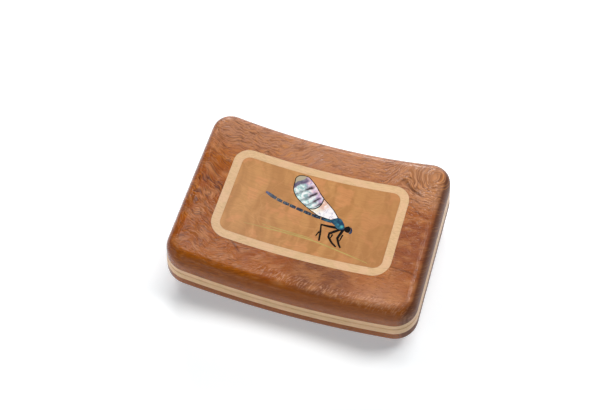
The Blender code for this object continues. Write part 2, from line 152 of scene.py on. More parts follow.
def lift(x, h):
    """Z of a point h above the underside, at x along the bent box."""
    return max(BEND_RADIUS - math.sqrt((BEND_RADIUS - h) ** 2 - x ** 2) - FLAT_SAG, 0.0)


def tilt(x, h):
    """Slope angle of the bend there, about Y."""
    return math.asin(x / (BEND_RADIUS - h))


# Camera and light.

CAMERA_AZIMUTH = 16.37  # degrees
CAMERA_ELEVATION = 60.41
CAMERA_DISTANCE = 0.5052
CAMERA_LENS = 66.36
CAMERA_SHIFT = (-0.0177, 0.0148)
SOFTBOX_DISTANCE = 0.9
# Each light: azimuth and elevation in degrees, size in metres and power in watts.
SOFTBOXES = {
    "overhead_softbox": (165, 72, (0.32, 0.30), 2.1),
    "right_softbox": (122, 60, (0.30, 0.30), 3.4),
    "left_softbox": (240, 64, (0.20, 0.12), 0.75),
    "left_strip": (290, 8, (0.10, 0.10), 0.8),
    "back_left_softbox": (202, 27, (0.34, 0.24), 5.1),
    "back_softbox": (178, 28, (0.35, 0.35), 0.9),
    "front_left_fill": (315, 15, (0.35, 0.35), 1.2),
    "front_fill": (0, 15, (0.35, 0.35), 1.0),
}
FLOOR_REACH = 3.0


def place_aimed(name, data, location, target=(0, 0, 0)):
    """A new camera or light at a place, looking at the target."""
    thing = bpy.data.objects.new(name, data)
    thing.location = location
    thing.rotation_euler = (Vector(target) - thing.location).to_track_quat('-Z', 'Y').to_euler()
    bpy.context.scene.collection.objects.link(thing)
    return thing


def around(azimuth, elevation, distance):
    """A place seen from the box: azimuth 0 is in front of it and 90 to its right."""
    azimuth, elevation = math.radians(azimuth), math.radians(elevation)
    flat = distance * math.cos(elevation)
    return Vector((flat * math.sin(azimuth), -flat * math.cos(azimuth), distance * math.sin(elevation)))


def make_camera():
    data = bpy.data.cameras.new("camera")
    data.lens = CAMERA_LENS
    data.shift_x, data.shift_y = CAMERA_SHIFT
    target = Vector((0, 0, THICKNESS))
    location = target + around(CAMERA_AZIMUTH, CAMERA_ELEVATION, CAMERA_DISTANCE)
    bpy.context.scene.camera = place_aimed("camera", data, location, target)


def make_softbox(name, azimuth, elevation, size, power):
    data = bpy.data.lights.new(name, 'AREA')
    data.shape = 'RECTANGLE'
    data.size, data.size_y = size
    data.energy = power
    place_aimed(name, data, around(azimuth, elevation, SOFTBOX_DISTANCE))


def make_world():
    world = bpy.data.worlds.new("studio")
    world.use_nodes = True
    background = world.node_tree.nodes["Background"]
    background.inputs["Color"].default_value = (0.95, 0.97, 1.0, 1)
    background.inputs["Strength"].default_value = 0.02
    bpy.context.scene.world = world
    bpy.context.scene.view_settings.view_transform = 'Standard'


def make_floor():
    bm = bmesh.new()
    bmesh.ops.create_grid(bm, x_segments=1, y_segments=1, size=FLOOR_REACH)
    floor = finish_mesh(bm, "floor")
    paper = Shader("pale_floor")
    for name, value in (("Emission Color", (0.84, 0.94, 1, 1)), ("Emission Strength", 0.30)):
        paper.plug(paper.surface.inputs[name], value)
    floor.data.materials.append(paper.finish((0.97, 0.97, 0.97, 1), 0.9))


def make_studio():
    for name, setting in SOFTBOXES.items():
        make_softbox(name, *setting)
    make_world()
    make_floor()


# Materials. Lengths in them are millimetres.

ORIGIN = (0, 0, 0)
MILLIMETRES = (1000, 1000, 1000)


class Shader:
    """A node material, built up from the place on the piece."""

    def __init__(self, name):
        self.material = bpy.data.materials.new(name)
        self.material.use_nodes = True
        self.tree = self.material.node_tree
        self.surface = self.tree.nodes["Principled BSDF"]
        self.place = self.scaled(self.add("TexCoord").outputs["Object"], MILLIMETRES)

    def add(self, kind, *inputs, **settings):
        """Add a node. Inputs are sockets or values, in order; None leaves one as it is."""
        node = self.tree.nodes.new("ShaderNode" + kind)
        for key, value in settings.items():
            setattr(node, key, value)
        for socket, value in zip(node.inputs, inputs):
            self.plug(socket, value)
        return node

    def plug(self, socket, value):
        if value is None:
            return
        if isinstance(value, bpy.types.NodeSocket):
            self.tree.links.new(value, socket)
        else:
            socket.default_value = value

    def scaled(self, vector, scale, offset=ORIGIN):
        return self.add("Mapping", vector, offset, None, scale).outputs[0]

    def math(self, operation, *values, clamp=False):
        return self.add("Math", *values, operation=operation, use_clamp=clamp).outputs[0]

    def fold(self, operation, *values):
        """The values taken together, one after another, by an operation on two."""
        return functools.reduce(lambda first, second: self.math(operation, first, second), values)

    plus = functools.partialmethod(fold, 'ADD')
    minus = functools.partialmethod(fold, 'SUBTRACT')
    times = functools.partialmethod(fold, 'MULTIPLY')
    over = functools.partialmethod(fold, 'DIVIDE')
    most = functools.partialmethod(fold, 'MAXIMUM')

    def noise(self, vector, scale, detail=2.0, roughness=0.5, offset=ORIGIN, output="Fac"):
        """Smooth noise. The scale is one number, or three that stretch it."""
        if isinstance(scale, tuple):
            vector, scale = self.scaled(vector, scale, offset), 1.0
        node = self.add("TexNoise", vector)
        for name, value in (("Scale", scale), ("Detail", detail), ("Roughness", roughness)):
            node.inputs[name].default_value = value
        return node.outputs[output]

    def warped(self, vector, scale, amount, detail=1.0):
        """The vector, moved about by smooth noise."""
        drift = self.noise(vector, scale, detail, output="Color")
        centred = self.add("VectorMath", drift, (0.5, 0.5, 0.5), operation='SUBTRACT').outputs[0]
        moved = self.add("VectorMath", centred, operation='SCALE')
        self.plug(moved.inputs["Scale"], amount)
        return self.add("VectorMath", vector, moved.outputs[0], operation='ADD').outputs[0]

    def ramp(self, value, *stops):
        """Stops are (place, grey)."""
        node = self.add("ValToRGB", value)
        node.color_ramp.interpolation = 'EASE'
        elements = node.color_ramp.elements
        while len(elements) < len(stops):
            elements.new(0.5)
        for element, (place, grey) in zip(elements, stops):
            element.position = place
            element.color = (grey, grey, grey, 1)
        return node.outputs[0]

    def rise(self, value, low, high, top=1.0):
        """0 where the value is under low, climbing smoothly to top at high."""
        return self.ramp(value, (low, 0.0), (high, top))

    def patches(self, vector, scale, low, high, top=1.0, offset=ORIGIN, detail=2.0, roughness=0.5):
        """Noise, 0 where it is under low and climbing to top at high."""
        return self.rise(self.noise(vector, scale, detail, roughness, offset), low, high, top)

    def mix(self, share, low, high):
        """Low where share is 0 and high where it is 1. Both are colours, fixed or from a node."""
        node = self.add("Mix", data_type='RGBA')
        factor, colours, result = node.inputs[0], node.inputs[6:8], node.outputs[2]
        self.plug(factor, share)
        for socket, colour in zip(colours, (low, high)):
            self.plug(socket, colour if isinstance(colour, bpy.types.NodeSocket) else (*colour, 1))
        return result

    def coated(self, base, *coats):
        """The base colour under coats, each a share and a colour."""
        for share, colour in coats:
            base = self.mix(share, base, colour)
        return base

    def line(self, value, middle, half_width):
        """1 where a smooth value is close to middle, falling to 0: a contour line."""
        away = self.math('ABSOLUTE', self.minus(value, middle))
        return self.math('SUBTRACT', 1.0, self.over(away, half_width), clamp=True)

    def distance(self, vector, centre):
        return self.add("VectorMath", vector, centre, operation='DISTANCE').outputs["Value"]

    def near(self, centre, radius):
        """1 at a place on the piece, falling smoothly to 0 at radius."""
        away = self.over(self.distance(self.place, centre), radius)
        return self.math('SMOOTH_MIN', self.math('SUBTRACT', 1.0, away, clamp=True), 1.0, 0.2)

    def spot(self, centre, radius, top, low=0.1, high=0.7):
        """top round a place on the piece, fading to 0 at radius."""
        return self.rise(self.near(centre, radius), low, high, top)

    def reach(self, vector, direction, origin=ORIGIN):
        """How far the vector is from the origin, along a direction."""
        offset = self.add("VectorMath", vector, origin, operation='SUBTRACT').outputs[0]
        return self.add("VectorMath", offset, direction, operation='DOT_PRODUCT').outputs["Value"]

    def finish(self, colour, roughness, specular=0.5, metallic=0.0, bump=None, depth=0.0):
        """Set the surface. The depth of a bump is in metres."""
        if bump is not None:
            node = self.add("Bump")
            for name, value in (("Strength", 1.0), ("Distance", depth), ("Height", bump)):
                self.plug(node.inputs[name], value)
            bump = node.outputs[0]
        for name, value in (("Base Color", colour), ("Roughness", roughness), ("Metallic", metallic),
                            ("Specular IOR Level", specular), ("Normal", bump)):
            self.plug(self.surface.inputs[name], value)
        return self.material


# The middle of the knot, at the back right corner of the lid.
KNOT = (50.3, 31.8, 33)
# Dark marks in the lid: the middle, the direction across, how far it reaches, half width and strength.
MARKS = (((42.4, 23.7, 31), (0.69, 0.72, 0), 8.5, 1.0, 0.75), ((38, 27, 31), (0.72, 0.69, 0), 5, 0.7, 0.35),
         ((47.5, -19, 32), (0.20, 0.98, 0), 11, 0.8, 0.55), ((-29, -25.7, 29), (0.48, 0.88, 0), 7, 0.8, 0.6),
         ((42.8, 18, 31), (0.41, 0.91, 0), 6.5, 0.7, 0.6), ((45.5, 12.4, 32), (0.6, 0.8, 0), 7, 0.6, 0.5))

# Colours of the figured wood: its faces, with painted sheen and painted shade laid on them, the painted shade
# of its rounded edges, and the lines, painted highlight and painted glints drawn over them.
RED_WOOD = (0.305, 0.069, 0.006)
ORANGE_WOOD = (0.370, 0.093, 0.003)
PINK_SHEEN_AND_KNOT_WOOD = (0.445, 0.208, 0.112)
GOLD_WOOD = (0.58, 0.275, 0.125)
RIGHT_SHADE_WOOD = (0.240, 0.085, 0.050)
SHADED_WOOD = (0.200, 0.078, 0.044)
FRONT_EDGE_SHADE = (0.275, 0.070, 0.005)
LEFT_EDGE_SHADE = (0.230, 0.046, 0.001)
BACK_EDGE_SHADE = (0.200, 0.068, 0.042)
RIGHT_EDGE_SHADE = (0.100, 0.026, 0.006)
SHEEN = (0.50, 0.205, 0.075)
CREST_HIGHLIGHT = (0.56, 0.31, 0.21)
SPARKLE = (0.62, 0.32, 0.18)
PALE_HAIR = (0.58, 0.22, 0.050)
DARK_HAIR = (0.130, 0.036, 0.013)
STREAK = (0.055, 0.014, 0.008)
PORE = (0.100, 0.026, 0.010)


def wood_grain(s, curls, left, closing):
    """How far a point is along and across the grain, which sweeps forward at the left and rings the knot."""
    swept = s.times(s.reach(curls, (0.85, 0, 0), (-46, 0, 0)), left)
    across = s.plus(s.reach(curls, (-0.15, 1, 0.9)), swept)
    rings = s.minus(56.0, s.distance(curls, KNOT))
    across = s.plus(across, s.times(s.minus(rings, across), closing))
    return s.reach(curls, (1, -0.2, 0)), across


def wood_hairs(s, grain, across, closing):
    """Fine dark lines along the grain: broken ones everywhere, whole rings near the knot."""
    dashes = s.patches(grain, (0.17, 1.05, 1), 0.53, 0.61)
    fine = s.patches(grain, (0.30, 2.0, 1), 0.53, 0.64, offset=(5, 1, 0), detail=1.0)
    wander = s.noise(grain, (0.06, 0.30, 1))
    phase = s.plus(s.times(across, 3.3), s.times(wander, 7.0))
    ripples = s.times(s.rise(s.math('SINE', phase), 0.40, 1.0, 0.85), closing)
    return s.most(dashes, s.times(fine, 0.7), ripples)


def wood_streaks(s, grain):
    """Wide, broken, dark streaks along the grain."""
    wide = s.noise(grain, (0.05, 0.34, 1), offset=(3, 7, 0))
    streaks = s.most(s.line(wide, 0.45, 0.022), s.line(wide, 0.57, 0.018))
    return s.times(streaks, s.patches(grain, (0.12, 0.30, 1), 0.47, 0.58, offset=(9, 2, 0)))


def wood_marks(s):
    """The dark marks that the lid has in some places."""
    drawn = s.warped(s.place, 0.09, 5.0)
    marks = []
    for middle, direction, reach, half_width, strength in MARKS:
        mark = s.rise(s.line(s.reach(drawn, direction, middle), 0.0, half_width), 0.0, 0.9)
        marks.append(s.times(mark, s.spot(middle, reach, strength, 0.0, 0.60)))
    return s.most(*marks)


def wood_sparkles(s, curls):
    """Painted glints: small bright flecks, slanting across the ridge along the front of the lid."""
    slanted = s.add("CombineXYZ", s.reach(curls, (0.5, 0.85, 0)), s.reach(curls, (0.85, -0.5, 0)), 0.0)
    flecks = s.patches(slanted.outputs[0], (0.42, 1.6, 1), 0.50, 0.62, detail=1.5)
    ridge = s.rise(s.line(s.reach(s.place, (0.055, 1, 0), (0, -34.3, 0)), 0.0, 4.0), 0.0, 0.8)
    return s.times(flecks, ridge, s.spot((18, -34, 28), 46, 0.55, 0.0, 0.5))


def figured_wood(name):
    """Curly red-brown wood with a painted pink sheen along the back and front right, painted shade on its
    rounded edges, a painted highlight and painted glints.
    """
    s = Shader(name)
    left = s.near((-52, 0, 30), 58)
    knot = s.near(KNOT, 30)
    closing = s.rise(knot, 0.20, 0.70)
    wild = s.most(left, knot)
    curls = s.warped(s.place, 0.050, s.plus(2.0, s.times(left, 8.0)))
    curls = s.warped(curls, 0.13, s.plus(1.5, s.times(wild, 5.0)))
    along, across = wood_grain(s, curls, left, closing)
    grain = s.add("CombineXYZ", along, across, 0.0).outputs[0]
    back = s.rise(s.over(s.reach(s.place, (0, 1, 0), (0, 12, 0)), 22.0), 0.0, 0.9, 0.85)
    figure = s.math('ADD', s.times(wild, 0.8), s.plus(0.30, s.times(back, 0.35)), clamp=True)
    heart = s.ramp(s.over(s.distance(curls, KNOT), 10.0), (0.06, 0.15), (0.40, 1.0))
    hairs = s.times(wood_hairs(s, grain, across, closing), heart, figure)
    streaks = s.most(s.times(wood_streaks(s, grain), figure, heart), wood_marks(s))
    pores = s.times(s.patches(grain, (0.5, 1.9, 1), 0.54, 0.68, roughness=0.6), heart)

    faces = s.mix(s.patches(s.place, 0.045, 0.38, 0.62), RED_WOOD, ORANGE_WOOD)
    # Painted sheen: pink laid along the back, fading towards the right end, and over the front right. The
    # paler wood round the knot, mixed into the same mask, is the wood's own.
    away = s.ramp(s.over(s.reach(s.place, (-1, 0, 0), (58, 0, 0)), 50.0), (0.0, 0.95), (1.0, 1.0))
    front_right_sheen = s.times(s.near((40, -36, 30), 26), 0.75)
    pale = s.most(s.times(back, away), front_right_sheen, s.rise(knot, 0.15, 0.65))
    # SHEEN is a painted sheen, in broken streaks along the grain.
    sheen = s.patches(grain, (0.14, 0.22, 1), 0.46, 0.66, 0.55, offset=(1, 6, 0))
    # The spot towards the right and the spot just inside the front middle are painted shade.
    faces = s.coated(faces, (pale, PINK_SHEEN_AND_KNOT_WOOD), (s.rise(knot, 0.25, 0.70, 0.45), GOLD_WOOD),
                     (s.spot((46, -4, 32), 24, 0.60), RIGHT_SHADE_WOOD),
                     (s.spot((13, -29, 28), 23, 0.80), SHADED_WOOD), (sheen, SHEEN))
    # Painted shade on the rounded edges: each side of the box gets its own darker colour by the way its
    # normal faces, darkest at the right end. right_end also roughens the finish there.
    rightward, backward, up = s.add("SeparateXYZ", s.add("TexCoord").outputs["Normal"]).outputs
    right_end = s.rise(rightward, 0.22, 0.62)
    left_end = s.rise(s.times(rightward, -1.0), 0.22, 0.62)
    back_end = s.rise(backward, 0.12, 0.50)
    edges = s.coated(s.mix(left_end, FRONT_EDGE_SHADE, LEFT_EDGE_SHADE), (s.times(back_end, 0.9), BACK_EDGE_SHADE),
                     (right_end, RIGHT_EDGE_SHADE))
    # Painted highlight: a pale crest just inside the back edge, where the rounding begins.
    crest = s.times(s.line(up, 0.93, 0.09), back_end, 0.5)
    pale_hairs = s.patches(grain, (0.26, 1.5, 1), 0.54, 0.62, offset=(8, 3, 0), detail=1.5)
    colour = s.coated(faces, (crest, CREST_HIGHLIGHT), (s.ramp(up, (0.70, 0.90), (0.96, 0.0)), edges),
                      (wood_sparkles(s, curls), SPARKLE), (s.times(pale_hairs, figure, 0.45), PALE_HAIR),
                      (s.times(hairs, 0.62), DARK_HAIR), (s.times(streaks, 0.85), STREAK),
                      (s.times(pores, 0.35), PORE))
    relief = s.plus(s.times(pores, 0.6), s.times(hairs, 0.6))
    return s.finish(colour, s.plus(0.17, s.times(right_end, 0.30)), specular=0.17,
                    bump=s.minus(1.0, relief), depth=0.00009)


def maple_wood(name, pale, deep):
    """Pale wood with a faint straight grain along X, soft cream and pink clouds, and small flecks."""
    s = Shader(name)
    place = s.warped(s.place, 0.06, 4.0)
    grain = s.noise(place, (0.05, 2.2, 2.2), 4.0, 0.6)
    clouds = s.patches(place, 0.16, 0.38, 0.64, detail=3.0)
    flecks = s.patches(place, (0.5, 2.6, 2.6), 0.58, 0.70)
    pink = (0.72, 0.445, 0.265)
    dark = tuple(0.62 * channel for channel in deep)
    colour = s.coated(s.mix(s.ramp(grain, (0.38, 0.8), (0.62, 0.0)), pale, deep),
                      (s.times(clouds, 0.60), pink), (s.times(flecks, 0.35), dark))
    return s.finish(colour, 0.36, specular=0.22, bump=grain, depth=0.000008)


def quilted_wood(name):
    """Tan veneer with soft quilted billows that catch the light, orange patches, a faint grain, and painted
    shade towards the right.
    """
    s = Shader(name)
    soft = s.warped(s.place, 0.05, 11.0)
    billows = s.noise(soft, (0.19, 0.055, 0.055), 2.5, 0.55)
    patches = s.patches(s.warped(s.place, 0.09, 7.0), (0.16, 0.13, 0.13), 0.50, 0.63, 0.60, offset=(2, 5, 0))
    creases = s.line(s.noise(soft, (0.11, 0.075, 0.075), 1.5, offset=(6, 1, 0)), 0.5, 0.022)
    grain = s.noise(s.warped(s.place, 0.08, 5.0), (0.05, 1.5, 1.5), 4.0, 0.6)
    # Painted shade: darker towards the right of the panel.
    right = s.rise(s.over(s.reach(s.place, (1, 0, 0)), 40.0), 0.2, 0.8, 0.4)
    tan = s.mix(s.rise(billows, 0.37, 0.62), (0.425, 0.187, 0.055), (0.525, 0.248, 0.080))
    orange = (0.61, 0.255, 0.095)
    cream = (0.64, 0.330, 0.125)
    brown = (0.335, 0.145, 0.044)
    shaded = (0.360, 0.155, 0.055)
    colour = s.coated(tan, (patches, orange), (s.times(creases, 0.24), cream),
                      (s.ramp(grain, (0.36, 0.30), (0.56, 0.0)), brown), (right, shaded))
    return s.finish(colour, 0.34, specular=0.2, bump=billows, depth=0.00010)


# The wing's tip, the way from it to the root, and the way across, all in the plane of the lid.
WING_TIP = (-9.5, 18.6, 0)
WING_AXIS = (0.69, -0.72, 0)
WING_ACROSS = (0.72, 0.69, 0)
WING_BREADTH = 10.0
# Dark ripples across the outer wing: distance from the tip, half width, strength and colour.
PURPLE = (0.15, 0.10, 0.19)
BLACK = (0.055, 0.040, 0.045)
WING_RIPPLES = ((3.7, 1.0, 0.75, PURPLE), (7.3, 1.0, 1.0, BLACK), (11.1, 1.0, 1.0, BLACK),
                (14.5, 0.9, 0.95, BLACK), (17.2, 0.7, 0.8, BLACK))


def wing_share(s, vector):
    """How far across the wing a point is: about 0 at one side and 1 at the other."""
    across = s.reach(vector, WING_ACROSS, WING_TIP)
    return s.over(s.plus(across, WING_BREADTH / 2), WING_BREADTH)


def paua(name):
    """Rippled abalone: mint and white on one side, lilac and pink on the other, dark along the middle."""
    s = Shader(name)
    waved = s.warped(s.place, 0.35, 2.4, detail=2.0)
    down = s.reach(waved, WING_AXIS, WING_TIP)
    share = wing_share(s, s.warped(s.place, 0.25, 3.0))
    side = s.rise(share, 0.38, 0.60)
    mottle = s.noise(waved, 0.5)
    mottled = s.rise(mottle, 0.42, 0.60)
    mint = s.mix(mottled, (0.66, 0.86, 0.82), (0.30, 0.47, 0.46))
    pink = s.mix(mottled, (0.88, 0.60, 0.62), (0.50, 0.36, 0.56))
    glints = s.times(s.patches(waved, 0.55, 0.48, 0.62, 0.9), s.minus(1.0, s.times(side, 0.45)))
    white = (0.90, 0.88, 0.87)
    lilac = (0.26, 0.19, 0.30)
    colour = s.coated(s.mix(side, mint, pink), (glints, white))
    middle = s.ramp(share, (0.22, 0.30), (0.44, 1.0), (0.56, 1.0), (0.82, 0.12))
    core = s.ramp(share, (0.20, 0.45), (0.40, 1.0), (0.58, 1.0), (0.76, 0.08))
    for distance, half_width, strength, dark in WING_RIPPLES:
        shade = s.rise(s.line(down, distance, 2.3 * half_width), 0.20, 0.90, 0.85 * strength)
        ripple = s.rise(s.line(down, distance + 0.2, half_width), 0.20, 0.80, strength)
        colour = s.coated(colour, (s.times(shade, middle), lilac), (s.times(ripple, core), dark))
    band = s.times(s.rise(s.line(down, 2.7, 1.7), 0.1, 0.5, 0.95),
                   s.ramp(share, (0.0, 1.0), (0.58, 0.85), (0.74, 0.0)))
    tip = s.ramp(s.over(down, 10.0), (0.15, 1.0), (0.20, 0.0))
    violet = (0.09, 0.06, 0.12)
    beige = (0.42, 0.36, 0.25)
    colour = s.coated(colour, (band, violet), (tip, beige))
    return s.finish(colour, 0.16, specular=0.35, bump=mottle, depth=0.00004)


def pearl(name):
    """White mother-of-pearl: peach near the break, cream on the left, and a lilac swirl towards the root."""
    s = Shader(name)
    swirled = s.warped(s.place, 0.30, 4.0, detail=2.0)
    patches = s.noise(swirled, 0.34)
    down = s.over(s.reach(swirled, WING_AXIS, WING_TIP), 30.0)
    cream = (0.86, 0.74, 0.52)
    peach = (0.74, 0.46, 0.34)
    white = (0.90, 0.88, 0.90)
    lilac = (0.38, 0.33, 0.46)
    root = s.rise(down, 0.62, 0.74, 0.9)
    swirl = s.most(s.line(patches, 0.50, 0.022), s.line(patches, 0.42, 0.018))
    colour = s.coated(s.mix(s.rise(wing_share(s, swirled), 0.34, 0.54), cream, peach),
                      (s.most(root, s.rise(patches, 0.52, 0.62, 0.8)), white),
                      (s.times(swirl, s.ramp(down, (0.60, 0.25), (0.72, 0.85))), lilac))
    return s.finish(colour, 0.18, specular=0.35, bump=patches, depth=0.00004)


def blue_shell(name):
    """Near-black blue shell with grey-green flecks, turquoise in the thorax and violet at the tail."""
    s = Shader(name)
    place = s.warped(s.place, 0.5, 1.2)
    black = (0.010, 0.020, 0.048)
    green = (0.075, 0.110, 0.130)
    turquoise = (0.10, 0.46, 0.47)
    azure = (0.05, 0.30, 0.42)
    violet = (0.065, 0.075, 0.185)
    slate = (0.050, 0.062, 0.125)
    body = s.mix(s.patches(place, 0.5, 0.40, 0.60), (0.012, 0.048, 0.105), (0.028, 0.120, 0.175))
    colour = s.coated(s.mix(s.patches(place, 0.95, 0.48, 0.66), black, green),
                      (s.spot((12.0, -1.4, 27), 7.4, 1.0, 0.15, 0.45), body),
                      (s.spot((15.4, -2.6, 27), 1.5, 0.95, high=0.8), turquoise),
                      (s.spot((13.6, -1.9, 27), 1.0, 0.6, high=0.8), azure),
                      (s.spot((-22.6, 5.1, 27), 3.4, 0.7), violet),
                      (s.spot((20.2, -4.2, 27), 2.0, 0.8), slate))
    return s.finish(colour, 0.2, specular=0.35)


def dyed_grass(name):
    """Yellow-green dye that thins out towards the left."""
    s = Shader(name)
    patches = s.patches(s.place, (0.25, 0.8, 0.8), 0.35, 0.65)
    green = s.mix(patches, (0.37, 0.270, 0.058), (0.46, 0.345, 0.092))
    thin = s.ramp(s.over(s.plus(s.reach(s.place, (1, 0, 0)), 30.0), 60.0),
                  (0.02, 0.50), (0.25, 0.10), (0.80, 0.0), (1.0, 0.15))
    tan = (0.46, 0.225, 0.070)
    return s.finish(s.mix(thin, green, tan), 0.36, specular=0.3)


def polished_metal(name, bright, deep, roughness):
    """Metal with faint lines from polishing, and a little tarnish."""
    s = Shader(name)
    lines = s.noise(s.place, (0.6, 9.0, 9.0), 3.0, 0.6)
    tarnish = s.patches(s.place, 0.25, 0.40, 0.75, 0.8, detail=3.0)
    return s.finish(s.mix(tarnish, bright, deep), s.plus(roughness, s.times(lines, 0.14)), metallic=1.0,
                    bump=lines, depth=0.0000015)


def closed_cell_foam(name):
    """Warm grey foam with small cells, with painted shade in the pit that the bump sinks in the middle of
    each.
    """
    s = Shader(name)
    cells = s.add("TexVoronoi", s.place)
    cells.inputs["Scale"].default_value = 3.2
    depth = cells.outputs["Distance"]
    # Painted shade: darker in the middle of each cell, where the bump sinks a pit.
    pit_shade = s.ramp(depth, (0.1, 1.0), (0.8, 0.0))
    colour = s.coated(s.mix(s.times(pit_shade, 0.35), (0.47, 0.455, 0.42), (0.34, 0.33, 0.305)),
                      (s.times(s.noise(s.place, 0.08), 0.3), (0.40, 0.385, 0.35)))
    return s.finish(colour, 0.92, specular=0.2, bump=depth, depth=0.00004)


def ebony_wood(name):
    """Black wood, a touch browner along its grain."""
    s = Shader(name)
    grain = s.noise(s.place, (0.4, 3.0, 3.0), 3.0)
    colour = s.mix(s.rise(grain, 0.45, 0.75), (0.004, 0.003, 0.003), (0.013, 0.009, 0.007))
    return s.finish(colour, 0.5, specular=0.04, bump=grain, depth=0.000005)


def make_materials():
    return {
        "figured_mahogany": figured_wood("figured_wood"),
        "maple": maple_wood("maple_wood", (0.69, 0.455, 0.245), (0.57, 0.355, 0.180)),
        "quilted_maple": quilted_wood("quilted_veneer"),
        "paua_shell": paua("paua"),
        "pearl_shell": pearl("mother_of_pearl"),
        "blue_shell": blue_shell("blue_abalone"),
        "ebony": ebony_wood("ebony_wood"),
        "grass_dye": dyed_grass("dyed_grass"),
        "brass": polished_metal("polished_brass", (0.78, 0.57, 0.29), (0.66, 0.46, 0.22), 0.20),
        "nickel": polished_metal("bright_nickel", (0.72, 0.70, 0.67), (0.50, 0.47, 0.43), 0.28),
        "foam": closed_cell_foam("foam_cells"),
    }


# Meshes.

SMOOTH_ANGLE = math.radians(30)


def finish_mesh(bm, name):
    bmesh.ops.recalc_face_normals(bm, faces=bm.faces)
    mesh = bpy.data.meshes.new(name)
    bm.to_mesh(mesh)
    bm.free()
    made = bpy.data.objects.new(name, mesh)
    bpy.context.scene.collection.objects.link(made)
    return made


def bridge(bm, low, high):
    """Faces between two loops of as many points."""
    for i in range(len(low)):
        j = (i + 1) % len(low)
        bm.faces.new((low[i], low[j], high[j], high[i]))


def make_block(name, size, place):
    """A box of that size about its own middle, moved by a matrix."""
    bm = bmesh.new()
    bmesh.ops.create_cube(bm, size=1.0, matrix=place @ Matrix.Diagonal((*size, 1)))
    return finish_mesh(bm, name)


def carve(target, *cutters):
    """Cut the target by each cutter, and apply the cuts."""
    for cutter in cutters:
        modifier = target.modifiers.new("cut", 'BOOLEAN')
        modifier.operation = 'DIFFERENCE'
        modifier.solver = 'EXACT'
        modifier.object = cutter
    bpy.context.view_layer.update()
    evaluated = target.evaluated_get(bpy.context.evaluated_depsgraph_get())
    mesh = bpy.data.meshes.new_from_object(evaluated)
    target.modifiers.clear()
    target.data = mesh


def discard(*things):
    for thing in things:
        bpy.data.objects.remove(thing, do_unlink=True)


def settle(piece, body, slot, *nodes):
    """Shade a finished piece, give it its material, and let it ride in place of its CAD nodes."""
    piece.data.shade_smooth()
    piece.data.set_sharp_from_angle(angle=SMOOTH_ANGLE)
    piece.data.materials.clear()
    piece.data.materials.append(MATERIALS[slot])
    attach(piece, body)
    if nodes:
        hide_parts(*nodes)


def ring(shape, inset, h, spans=SPANS):
    """A rounded rectangle laid on the bend at h, which is a height or a function of x."""
    length, width, corner = shape
    reach_x = length / 2 - corner
    reach_y = width / 2 - corner
    radius = corner - inset
    turns = [math.pi / 2 * step / CORNER_STEPS for step in range(CORNER_STEPS)]
    row = [(-reach_x - radius * math.cos(turn), reach_y + radius * math.sin(turn)) for turn in turns]
    row += [(reach_x * (2 * step / spans - 1), reach_y + radius) for step in range(spans + 1)]
    row += [(-x, y) for x, y in reversed(row[:CORNER_STEPS])]
    height = h if callable(h) else lambda x: h
    front = [Vector((x, -y, lift(x, height(x)))) for x, y in row]
    back = [Vector((x, y, lift(x, height(x)))) for x, y in reversed(row)]
    return front + back


def wall_ring(inset, h, level=None, spans=SPANS):
    """A ring of the box's own outline, whose ends slope outwards below the top."""
    level = h if level is None else level
    length = LENGTH + 2 * END_SLOPE * (THICKNESS - level)
    return ring((length, WIDTH, CORNER), inset, h, spans)


def loft(name, rings, hollow=False):
    """Join rings into a solid with two caps, or into a closed band when hollow."""
    bm = bmesh.new()
    loops = [[bm.verts.new(point) for point in points] for points in rings]
    pairs = list(zip(loops, loops[1:]))
    if hollow:
        pairs.append((loops[-1], loops[0]))
    for low, high in pairs:
        bridge(bm, low, high)
    if not hollow:
        for loop in (loops[0], loops[-1]):
            for i in range(len(loop) // 2 - 1):
                bm.faces.new((loop[i], loop[i + 1], loop[-2 - i], loop[-1 - i]))
    return finish_mesh(bm, name)


def rounding(reach, steps=ROUND_STEPS):
    """Each step round an edge, from the flat face to the side, as an inset and a drop."""
    turns = [math.pi / 2 * step / steps for step in range(steps + 1)]
    return [(reach[0] * (1 - math.sin(turn)), reach[1] * (1 - math.cos(turn))) for turn in turns]


def cavity_rings(end, outwards):
    """The rings round the filleted end of a cavity. outwards says which way it opens: 1 is up."""
    return [wall_ring(WALL + CAVITY_FILLET - inset, end + outwards * (CAVITY_FILLET - drop))
            for inset, drop in rounding((CAVITY_FILLET, CAVITY_FILLET), CAVITY_STEPS)]


def make_base_tray():
    rings = [wall_ring(inset, rise) for inset, rise in rounding(BOTTOM_ROUND)]
    top = TRAY_TOP - GLUE_LINE
    rings += [wall_ring(0, top), wall_ring(WALL, top)]
    return loft("base_tray_wood", rings + cavity_rings(FLOOR_TOP, 1))


def make_rim(name, low, high, seam_is_high):
    """A maple layer, with a small bevel along the seam, inside and out."""
    seam, away = (high, -SEAM_BEVEL) if seam_is_high else (low, SEAM_BEVEL)
    glued = low if seam_is_high else high
    profile = [(0, glued), (0, seam + away), (SEAM_BEVEL, seam), (WALL - SEAM_BEVEL, seam),
               (WALL, seam + away), (WALL, glued)]
    return loft(name, [wall_ring(inset, h) for inset, h in profile], hollow=True)


def make_lid_shell():
    bottom = LID_RIM_TOP + GLUE_LINE
    rings = cavity_rings(ROOF_UNDER, -1) + [wall_ring(WALL, bottom), wall_ring(0, bottom)]
    rings += [wall_ring(inset, THICKNESS - drop) for inset, drop in reversed(rounding(TOP_ROUND))]
    return loft("lid_shell_wood", rings)


def inlay_shape(grow=0.0):
    return (BORDER_SIZE[0] + 2 * grow, BORDER_SIZE[1] + 2 * grow, BORDER_CORNER + grow)


